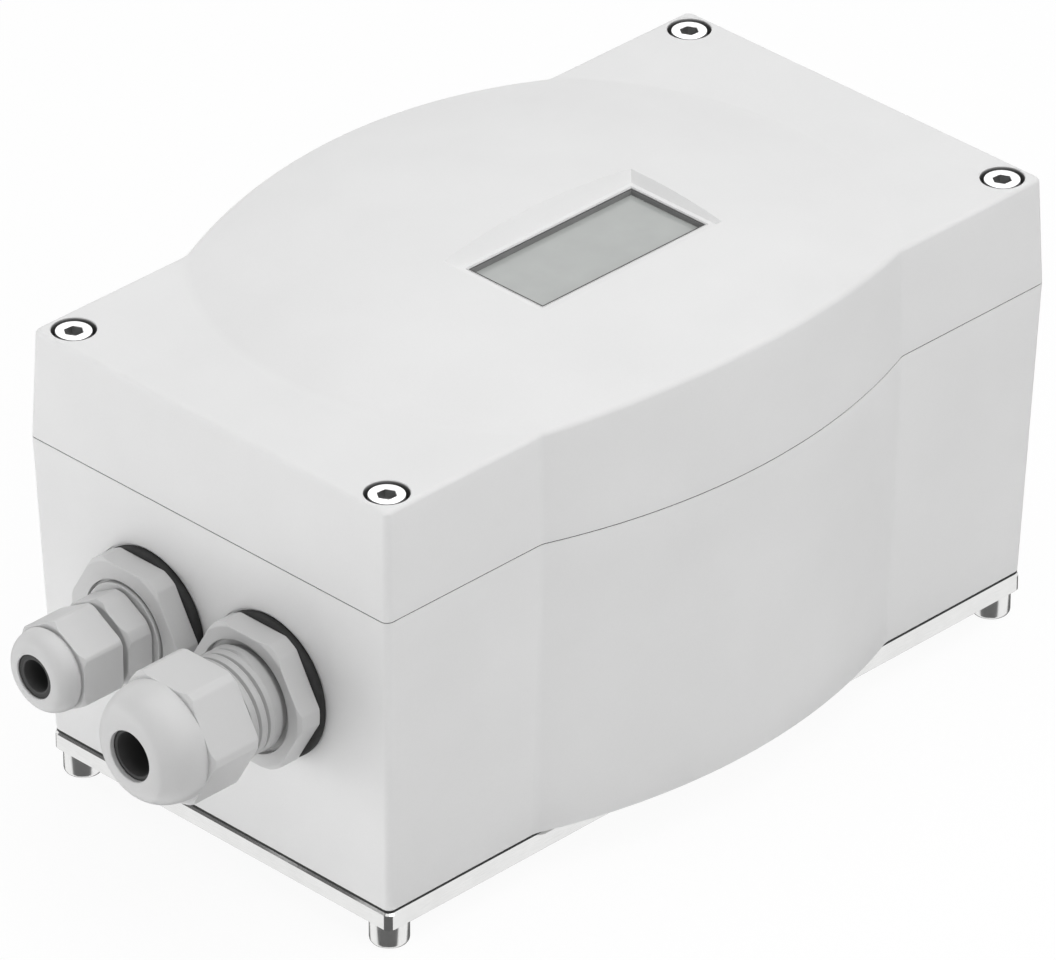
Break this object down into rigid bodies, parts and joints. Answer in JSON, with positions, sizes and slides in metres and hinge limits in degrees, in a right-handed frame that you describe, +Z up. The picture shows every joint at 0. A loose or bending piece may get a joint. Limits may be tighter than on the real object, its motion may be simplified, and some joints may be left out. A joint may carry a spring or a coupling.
{
  "type": "valve positioner",
  "caption": "Valve positioner: bowed grey housing with a domed cover and window, cable glands at one end, a metal base plate and a feedback shaft below.",
  "frame": {"origin": "on the feedback shaft's axis, at the underside of the base plate", "axes": "+X along the long side, away from the cable glands; +Y across; +Z up through the cover"},
  "size_m": [0.2111, 0.1132, 0.1053],
  "materials": {
    "grey_casing": "light grey moulded plastic, fine matt texture",
    "base_metal": "bright milled aluminium",
    "screw_steel": "bright stainless steel",
    "gland_plastic": "light grey moulded plastic, smooth",
    "yellow_brass": "plain brass",
    "dark_rubber": "matt dark rubber",
    "clear_pane": "clear polished pane",
    "display_grey": "blank grey display",
    "gear_plastic": "ivory acetal",
    "board_green": "green circuit board",
    "terminal_green": "green moulded plastic",
    "black_plastic": "black moulded plastic",
    "key_plastic": "grey moulded plastic",
    "block_aluminium": "anodised aluminium"
  },
  "bodies": {
    "root": {"housing_base": "grey_casing", "floor_panel": "grey_casing", "board_columns": "grey_casing", "cover_inserts": "yellow_brass", "base_plate": "base_metal", "base_seal": "dark_rubber", "base_screws": "screw_steel", "large_gland_seal": "dark_rubber", "large_gland_locknut": "gland_plastic", "large_gland_body": "gland_plastic", "large_gland_insert": "dark_rubber", "small_gland_seal": "dark_rubber", "small_gland_locknut": "gland_plastic", "small_gland_reducer": "gland_plastic", "small_gland_body": "gland_plastic", "small_gland_insert": "dark_rubber", "shaft_bush": "yellow_brass", "shaft_seal": "dark_rubber", "sensor_bracket": "screw_steel", "bracket_screws": "screw_steel", "angle_sensor": "black_plastic", "sensor_nut": "yellow_brass", "main_board": "board_green", "board_screws": "screw_steel", "terminal_block": "terminal_green", "terminal_screws": "screw_steel", "board_posts": "yellow_brass", "display_board": "board_green", "display_board_screws": "screw_steel", "display_module": "display_grey", "key_switches": "black_plastic", "socket_strip": "black_plastic", "port_block": "block_aluminium", "block_screws": "screw_steel", "port_seal": "dark_rubber", "supply_filter": "screw_steel", "vent_plug": "yellow_brass", "pilot_valve": "black_plastic", "booster_valve": "block_aluminium", "pressure_sensor": "block_aluminium"},
    "cover": {"cover_shell": "grey_casing", "cover_seal": "dark_rubber", "cover_screws": "screw_steel", "window_pane": "clear_pane", "window_seal": "dark_rubber", "window_retainer": "screw_steel", "retainer_screws": "screw_steel"},
    "large_cap": {"large_cap_nut": "gland_plastic"},
    "small_cap": {"small_cap_nut": "gland_plastic"},
    "feedback": {"feedback_shaft": "screw_steel", "shaft_clip": "screw_steel", "drive_gear": "gear_plastic", "gear_collar": "screw_steel"},
    "pinion": {"sensor_pinion": "gear_plastic"},
    "key_1": {"key_left": "key_plastic"},
    "key_2": {"key_middle": "key_plastic"},
    "key_3": {"key_right": "key_plastic"}
  },
  "joints": [
    {"name": "cover_lift", "type": "slide", "parent": "root", "child": "cover", "axis": [0, 0, 1], "range_m": [0, 0.1]},
    {"name": "large_cap_turn", "type": "hinge", "parent": "root", "child": "large_cap", "pos_m": [-0.10812, -0.01615, 0.0423], "axis": [-1, 0, 0], "continuous": true},
    {"name": "small_cap_turn", "type": "hinge", "parent": "root", "child": "small_cap", "pos_m": [-0.10607, 0.01615, 0.0423], "axis": [-1, 0, 0], "continuous": true},
    {"name": "feedback_turn", "type": "hinge", "parent": "root", "child": "feedback", "pos_m": [0, 0, 0.01], "axis": [0, 0, 1], "range_deg": [-50, 50]},
    {"name": "pinion_turn", "type": "hinge", "parent": "root", "child": "pinion", "pos_m": [0.0315, 0, 0.02], "axis": [0, 0, 1], "range_deg": [-125, 125]},
    {"name": "key_left_press", "type": "slide", "parent": "root", "child": "key_1", "axis": [0, 0, -1], "range_m": [0, 0.0008], "stiffness_N_per_m": 400},
    {"name": "key_middle_press", "type": "slide", "parent": "root", "child": "key_2", "axis": [0, 0, -1], "range_m": [0, 0.0008], "stiffness_N_per_m": 400},
    {"name": "key_right_press", "type": "slide", "parent": "root", "child": "key_3", "axis": [0, 0, -1], "range_m": [0, 0.0008], "stiffness_N_per_m": 400}
  ],
  "couplings": [
    {"joint": "pinion_turn", "follows": "feedback_turn", "ratio": -2.5}
  ]
}
